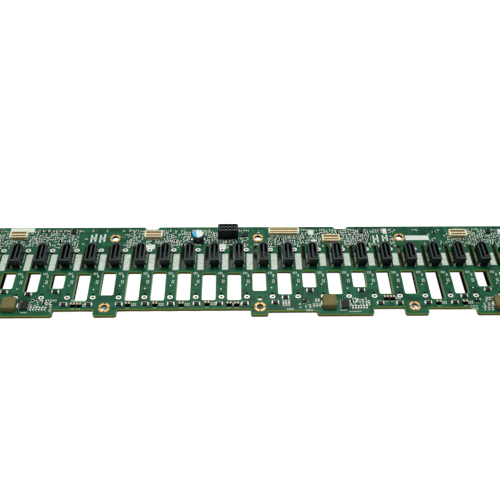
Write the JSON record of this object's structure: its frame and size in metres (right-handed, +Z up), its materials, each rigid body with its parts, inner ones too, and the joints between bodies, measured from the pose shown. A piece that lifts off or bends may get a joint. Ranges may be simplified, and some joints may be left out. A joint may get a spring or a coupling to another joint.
{
  "type": "drive backplane board",
  "caption": "Long green circuit board that joins a row of upright server drives to their cables, with air windows, signal headers on top and drive receptacles below.",
  "frame": {"origin": "middle of the board's outline, on the plane that the drive receptacles stand on", "axes": "+X along the row of bays, +Y towards the edge with the power header, +Z up, away from the drives"},
  "size_m": [0.43, 0.082, 0.0205],
  "materials": {
    "board_laminate": "satin",
    "connector_black": "satin",
    "connector_cream": "satin",
    "contact_tin": "satin",
    "contact_gold": "polished",
    "inductor_block": "matte",
    "capacitor_can": "satin",
    "chip_resin": "matte",
    "silkscreen_ink": "matte",
    "label_paper": "matte",
    "ceramic_body": "satin"
  },
  "bodies": {
    "root": {"board": "board_laminate", "chip_packages": "chip_resin", "drive_receptacle_01": "connector_black", "drive_receptacle_02": "connector_black", "drive_receptacle_03": "connector_black", "drive_receptacle_04": "connector_black", "drive_receptacle_05": "connector_black", "drive_receptacle_06": "connector_black", "drive_receptacle_07": "connector_black", "drive_receptacle_08": "connector_black", "drive_receptacle_09": "connector_black", "drive_receptacle_10": "connector_black", "drive_receptacle_11": "connector_black", "drive_receptacle_12": "connector_black", "drive_receptacle_13": "connector_black", "drive_receptacle_14": "connector_black", "drive_receptacle_15": "connector_black", "drive_receptacle_16": "connector_black", "drive_receptacle_17": "connector_black", "drive_receptacle_18": "connector_black", "drive_receptacle_19": "connector_black", "drive_receptacle_20": "connector_black", "drive_receptacle_21": "connector_black", "drive_receptacle_22": "connector_black", "drive_receptacle_23": "connector_black", "drive_receptacle_24": "connector_black", "mezzanine_receptacle_1": "connector_cream", "mezzanine_receptacle_2": "connector_cream", "mezzanine_receptacle_3": "connector_cream", "mezzanine_receptacle_4": "connector_cream", "mezzanine_receptacle_5": "connector_cream", "polymer_capacitor": "capacitor_can", "power_header_housing": "connector_black", "power_header_pins": "contact_tin", "power_inductors": "inductor_block", "signal_header_01": "connector_black", "signal_header_02": "connector_black", "signal_header_03": "connector_black", "signal_header_04": "connector_black", "signal_header_05": "connector_black", "signal_header_06": "connector_black", "signal_header_07": "connector_black", "signal_header_08": "connector_black", "signal_header_09": "connector_black", "signal_header_10": "connector_black", "signal_header_11": "connector_black", "signal_header_12": "connector_black", "signal_header_13": "connector_black", "signal_header_14": "connector_black", "signal_header_15": "connector_black", "signal_header_16": "connector_black", "signal_header_17": "connector_black", "signal_header_18": "connector_black", "signal_header_19": "connector_black", "signal_header_20": "connector_black", "signal_header_21": "connector_black", "signal_header_22": "connector_black", "signal_header_23": "connector_black", "signal_header_24": "connector_black"}
  },
  "joints": []
}
